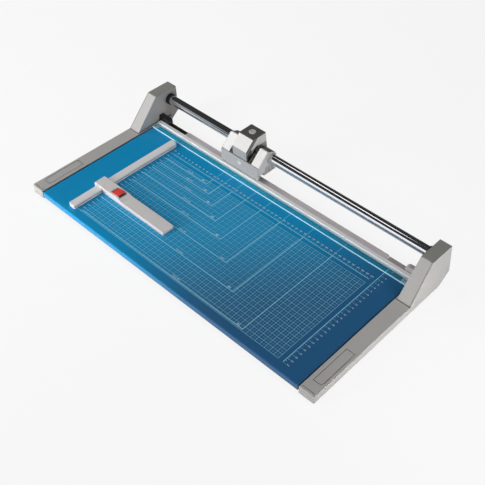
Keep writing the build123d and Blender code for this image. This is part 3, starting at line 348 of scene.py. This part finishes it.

# the clamp's coil springs, wound in place of the plain spring nodes and fixed to the base
spring = {"coil": 0.0021, "wire": 0.00035, "turns": 3, "stroke": 0.0015, "steps": 24, "sides": 10}
for node in ("left_clamp_spring", "right_clamp_spring"):
    low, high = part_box(node)
    middle, height = (low + high) / 2, high.z - low.z
    bpy.ops.mesh.primitive_circle_add(vertices=spring["sides"], radius=spring["wire"],
                                      location=(spring["coil"], 0, 0), rotation=(math.radians(90), 0, 0))
    settle()
    coil = bpy.context.object
    coil.name = node.replace("clamp_spring", "clamp_coil")
    wind = coil.modifiers.new("wind", "SCREW")
    wind.steps = wind.render_steps = spring["steps"]
    wind.iterations = spring["turns"]
    wind.screw_offset = (height - 2 * spring["wire"]) / spring["turns"]
    bpy.ops.object.modifier_apply(modifier="wind")
    bpy.ops.object.mode_set(mode="EDIT")
    bpy.ops.mesh.select_all(action="SELECT")
    bpy.ops.mesh.fill_holes(sides=spring["sides"])
    bpy.ops.mesh.select_all(action="SELECT")
    bpy.ops.mesh.normals_make_consistent(inside=False)
    bpy.ops.object.mode_set(mode="OBJECT")
    coil.location = (middle.x, middle.y, low.z + spring["wire"])
    settle()
    coil.data.materials.append(steels["zincScrew"].material)
    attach(coil, "base")
    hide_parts(node)
    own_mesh(coil)
print("metals done")

# clear clamp strip, with a painted highlight along its front rim and a whitish back; it clears towards the
# right
strip = {"tint": (0.08, 0.85, 1.0), "rim": (0.50, 0.86, 1.0), "rimY": 0.0994, "back": (0.70, 0.86, 0.95),
         "backY": 0.1112, "roughness": 0.09, "gloss": 0.08, "specular": 0.25, "edge": 0.0006, "rub": 5.0,
         "haze": {"scale": 30.0, "detail": 3.0, "stretch": (0.1, 1.0, 1.0)},
         "rimCover": 0.8, "backCover": 0.7, "edgeCover": 0.4, "clearing": (-0.05, 0.22), "cover": (0.2, 0.07)}
clear = Finish("clearStrip", strip["tint"], strip["roughness"], Alpha=strip["cover"][0],
               **{"Specular IOR Level": strip["specular"]})
x, y, z = clear.place()
# painted highlight: the front rim is bright and nearly opaque
rim = y < strip["rimY"]
back = y > strip["backY"]
edges = clear.edgeMask(clear.softEdges(strip["edge"]), strip["rub"])
cover = (rim * strip["rimCover"]).atLeast(back * strip["backCover"]).atLeast(edges * strip["edgeCover"])
clear.feed("Base Color", clear.mix(rim, clear.mix(back, strip["tint"], strip["back"]), strip["rim"]))
clear.gloss(clear.noise(**strip["haze"]), strip["gloss"])
clear.feed("Alpha", cover + clear.fade(x, strip["clearing"], strip["cover"]))
wear("clear_strip", clear)

# clear tabs at the clamp's ends
tab = {"tint": (0.80, 0.85, 0.90), "roughness": 0.13, "gloss": 0.1, "edge": 0.0006, "rub": 5.0,
       "haze": {"scale": 300.0, "detail": 3.0}, "cover": 0.25, "edgeCover": 0.6}
clearTab = Finish("clearTab", tab["tint"], tab["roughness"], Alpha=tab["cover"])
edges = clearTab.edgeMask(clearTab.softEdges(tab["edge"]), tab["rub"])
clearTab.gloss(clearTab.noise(**tab["haze"]), tab["gloss"])
clearTab.feed("Alpha", edges * tab["edgeCover"] + tab["cover"])
wear("left_clamp_end", clearTab)
wear("right_clamp_end", clearTab)
print("clear pieces done")

# printed steel table; u runs right from the scales' zero, v runs forward from the cut
table = {
    "left": (0.010, 0.315, 0.63), "right": (0.025, 0.125, 0.285), "ink": (0.40, 0.86, 1.0),
    "turning": (-0.02, 0.27), "slant": 0.7, "drift": 3.0, "driftBy": 0.04,
    "roughness": 0.22, "gloss": 0.08, "specular": 0.22, "peel": 700.0, "depth": 0.00003, "strength": 0.5,
    "edge": 0.001, "zeroX": -0.2375, "cutY": 0.140, "printedAbove": 0.0189,
    "pitch": 0.010, "line": 0.00058, "lineInk": 0.72, "fine": 0.00036, "fineInk": 0.42,
    "gridU": (0.0114, 0.5006), "gridV": (0.0794, 0.3006),
    "outline": 0.00105, "outlineU": 0.011, "outlineV": 0.002, "faintInk": 0.45,
    "border": 0.0009, "headV": 0.070, "headU": (0.013, 0.500), "sideU": 0.510, "sideV": (0.002, 0.300),
    "shortPitch": 0.005, "shortLine": 0.0003, "longPitch": 0.010, "longLine": 0.0004,
}
formats = [  # name, width and depth of each sheet that is outlined
    ("B7", 0.125, 0.088), ("A6", 0.148, 0.105), ("B6", 0.176, 0.125), ("A5", 0.210, 0.148),
    ("B5", 0.250, 0.176), ("A4", 0.297, 0.210), ("B4", 0.353, 0.250), ("A3", 0.420, 0.297),
]
enamel = Finish("tableEnamel", table["left"], table["roughness"], **{"Specular IOR Level": table["specular"]})
x, y, z = enamel.place()
u = x - table["zeroX"]
v = table["cutY"] - y
scales = [  # runs along, crosses, where its short and its long marks lie, where it starts and ends
    (v, u, (0.5100, 0.5135), (0.5100, 0.5160), (0.012, 0.300)),
    (v, u, (0.0005, 0.0035), (0.0005, 0.0060), (0.055, 0.300)),
    (u, v, (0.0665, 0.0700), (0.0645, 0.0700), (0.013, 0.500)),
]


def rule(value, at, width):
    # one line
    return abs(value - at) < width / 2


def comb(value, pitch, width):
    # a line at every pitch
    return abs(value % pitch - pitch / 2) > pitch / 2 - width / 2


def lattice(pitch, width):
    return comb(u, pitch, width).atLeast(comb(v, pitch, width))


coarse = lattice(table["pitch"], table["line"]) * table["lineInk"]
fine = lattice(table["pitch"] / 2, table["fine"]) * table["fineInk"]
ink = coarse.atLeast(fine) * (within(u, *table["gridU"]) * within(v, *table["gridV"]))
for name, width, depth in formats:
    across = rule(v, depth, table["outline"]) * within(u, table["outlineU"], width)
    faint = within(v, table["outlineV"], table["headV"]) * table["faintInk"]
    down = rule(u, width, table["outline"]) * (within(v, table["headV"], depth) + faint)
    ink = ink.atLeast(across).atLeast(down)
ink = ink.atLeast(rule(v, table["headV"], table["border"]) * within(u, *table["headU"]))
ink = ink.atLeast(rule(u, table["sideU"], table["border"]) * within(v, *table["sideV"]))
for along, crossing, short, long, stretch in scales:
    shorts = comb(along, table["shortPitch"], table["shortLine"]) * within(crossing, *short)
    longs = comb(along, table["longPitch"], table["longLine"]) * within(crossing, *long)
    ink = ink.atLeast(shorts.atLeast(longs) * within(along, *stretch))
ink = ink * (z > table["printedAbove"])
# painted light: the blue is brighter teal at the left and darker navy to the right, for sheen and the fall of
# light
drift = (enamel.noise(table["drift"]) - 0.5) * table["driftBy"]
paintedLightToRight = enamel.fade(x - y * table["slant"] + drift, table["turning"], (0.0, 1.0), "SMOOTHSTEP")
peel = enamel.noise(table["peel"])
enamel.feed("Base Color", enamel.mix(ink, enamel.mix(paintedLightToRight, table["left"], table["right"]), table["ink"]))
enamel.gloss(peel, table["gloss"])
enamel.feed("Normal", enamel.bump(peel, table["depth"], table["strength"], enamel.softEdges(table["edge"])))
wear("table_plate", enamel)
print("table printed")

# printed numbers: real thin lettering on the enamel
numbers = {"ink": (0.80, 0.93, 0.98), "dull": (0.72, 0.87, 0.94), "bright": (0.88, 0.97, 1.0),
           "roughness": 0.4, "fleck": 500.0, "top": 0.019, "lift": 0.00004, "step": 0.010,
           "cutV": 0.0615, "cutSize": 0.0040, "rightU": 0.5200, "rightSize": 0.0033,
           "stopU": 0.0092, "stopSize": 0.0036, "above": 0.0035, "inset": 0.012, "nameSize": 0.0058,
           "measureShare": 0.62, "measureSize": 0.0042}
inkFinish = Finish("whiteInk", numbers["ink"], numbers["roughness"])
fleck = inkFinish.noise(numbers["fleck"])
inkFinish.feed("Base Color", inkFinish.mix(fleck, numbers["dull"], numbers["bright"]))


def lettering(words, right, forward, size):
    height = numbers["top"] + numbers["lift"]
    bpy.ops.object.text_add(location=(table["zeroX"] + right, table["cutY"] - forward, height))
    made = bpy.context.object
    made.data.body = words
    made.data.size = size
    made.data.resolution_u = 2
    made.data.align_x, made.data.align_y = "CENTER", "CENTER"
    return made


def printed(name, letters):
    bpy.ops.object.select_all(action="DESELECT")
    for letter in letters:
        letter.select_set(True)
    bpy.context.view_layer.objects.active = letters[0]
    bpy.ops.object.convert(target="MESH")
    bpy.ops.object.join()
    made = bpy.context.object
    settle()
    made.name = name
    made.data.materials.clear()
    made.data.materials.append(inkFinish.material)
    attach(made, "base")


def counted(first, last):
    # what each printed centimetre says, in millimetres, and where it stands
    return [(str(cm * 10), cm * numbers["step"]) for cm in range(first, last + 1)]


printed("numbersAlongCut", [lettering(words, at, numbers["cutV"], numbers["cutSize"])
                            for words, at in counted(2, 50)])
printed("numbersAtRight", [lettering(words, numbers["rightU"], at, numbers["rightSize"])
                           for words, at in counted(1, 30)])
printed("numbersAtStop", [lettering(words, numbers["stopU"], at, numbers["stopSize"])
                          for words, at in counted(6, 30)])
labels = []
for name, width, depth in formats:
    at = depth - numbers["above"]
    labels.append(lettering(name, width - numbers["inset"], at, numbers["nameSize"]))
    measure = "%d x %d" % (width * 1000, depth * 1000)
    labels.append(lettering(measure, width * numbers["measureShare"], at, numbers["measureSize"]))
printed("formatLabels", labels)
print("numbers printed")

# pale floor, which glows where it is seen, mirrored or looked at through the clear strip
ground = {"size": 60.0, "color": (0.86, 0.86, 0.86), "roughness": 0.9, "glow": 0.87}
bpy.ops.mesh.primitive_plane_add(size=ground["size"], location=(0, 0, 0))
floor = bpy.context.object
floor.name = "studioFloor"
floorPaint = Finish("floorPaint", ground["color"], ground["roughness"])
glow = floorPaint.node("ShaderNodeEmission", None, {"Color": (1, 1, 1, 1), "Strength": 1.0})
rays = ["Is Camera Ray", "Is Glossy Ray", "Is Transmission Ray"]
seen, mirrored, through = [floorPaint.node("ShaderNodeLightPath", output=ray) for ray in rays]
glowing = (seen + mirrored + through).atMost(1.0) * ground["glow"]
matt = Signal(floorPaint, floorPaint.shader.outputs[0])
surface = floorPaint.node("ShaderNodeMixShader", None, {0: glowing, 1: matt, 2: glow})
floorPaint.link(surface, floorPaint.tree.nodes["Material Output"].inputs["Surface"])
floor.data.materials.append(floorPaint.material)

# lamps: lit is whether one lights matt faces, mirrored whether it shows in shiny ones
lamps = {
    "frontCard": {"at": (-0.84, -1.74, 0.30), "to": (-0.55, 0.00, 0.04), "size": (1.00, 0.56),
                  "power": 9.6, "spread": 100.0, "mirrored": False},
    "mirrorCard": {"at": (-0.84, -1.74, 0.66), "to": (-0.84, 0.00, 0.40), "size": (1.10, 1.15),
                   "power": 4.6, "lit": False},
    "keyLeft": {"at": (-2.00, -0.15, 1.35), "to": (0.00, 0.00, 0.02), "size": (0.42, 0.42), "power": 9.0},
    "frontHigh": {"at": (-0.90, -1.50, 1.10), "to": (-0.30, 0.05, 0.04), "size": (0.36, 0.36),
                  "power": 8.5, "mirrored": False},
    "dimLeft": {"at": (-1.42, -1.15, 0.66), "to": (-0.24, 0.15, 0.06), "size": (0.45, 0.90), "power": 0.45},
    "overheadStrip": {"at": (-0.46, 0.205, 1.30), "to": (-0.46, 0.205, 0.0), "size": (0.70, 0.20),
                      "power": 2.1, "turn": -38.0, "mirrored": False},
    "mirrorStrip": {"at": (-0.46, 0.205, 1.28), "to": (-0.46, 0.205, 0.0), "size": (0.70, 0.20),
                    "power": 0.9, "turn": -38.0, "lit": False},
    "highRight": {"at": (0.90, 0.30, 1.10), "to": (0.25, 0.05, 0.02), "size": (0.60, 0.60), "power": 2.7},
    "lowRight": {"at": (0.84, -0.05, 0.12), "to": (0.33, 0.0, 0.08), "size": (0.50, 0.18),
                 "power": 0.52, "spread": 70.0},
}
for name, lamp in lamps.items():
    bpy.ops.object.light_add(type="AREA", location=lamp["at"])
    made = bpy.context.object
    made.name = name
    made.data.shape = "RECTANGLE"
    made.data.size, made.data.size_y = lamp["size"]
    made.data.energy = lamp["power"]
    made.data.spread = math.radians(lamp.get("spread", 180.0))
    made.visible_camera = False
    made.visible_glossy = lamp.get("mirrored", True)
    made.visible_diffuse = lamp.get("lit", True)
    aim = Vector(lamp["to"]) - Vector(lamp["at"])
    made.rotation_euler = aim.to_track_quat("-Z", "Y").to_euler()
    made.rotation_euler.rotate_axis("Z", math.radians(lamp.get("turn", 0.0)))

# the air round the set: dim for the chrome, pale behind the floor's far edge
air = {"tint": (0.95, 0.97, 1.0), "strength": (0.04, 0.93)}
world = bpy.data.worlds.new("studio")
bpy.context.scene.world = world
world.use_nodes = True
sky = Nodes(world.node_tree)
backdrop = sky.tree.nodes["Background"]
backdrop.inputs["Color"].default_value = (*air["tint"], 1.0)
cameraRay = sky.node("ShaderNodeLightPath", output="Is Camera Ray")
sky.link(sky.fade(cameraRay, (0.0, 1.0), air["strength"]), backdrop.inputs["Strength"])

camera = {"at": (0.76643, -0.76519, 1.05741), "lens": 61.54, "sensor": 36.0, "elevation": 44.954,
          "azimuth": 43.807, "roll": -0.10}
bpy.ops.object.camera_add(location=camera["at"])
eye = bpy.context.object
eye.data.lens = camera["lens"]
eye.data.sensor_width = camera["sensor"]
eye.rotation_euler = (math.radians(90 - camera["elevation"]), 0, math.radians(camera["azimuth"]))
eye.rotation_euler.rotate_axis("Z", math.radians(camera["roll"]))
bpy.context.scene.camera = eye
bpy.context.scene.view_settings.view_transform = "Standard"
print("camera and lamps set")
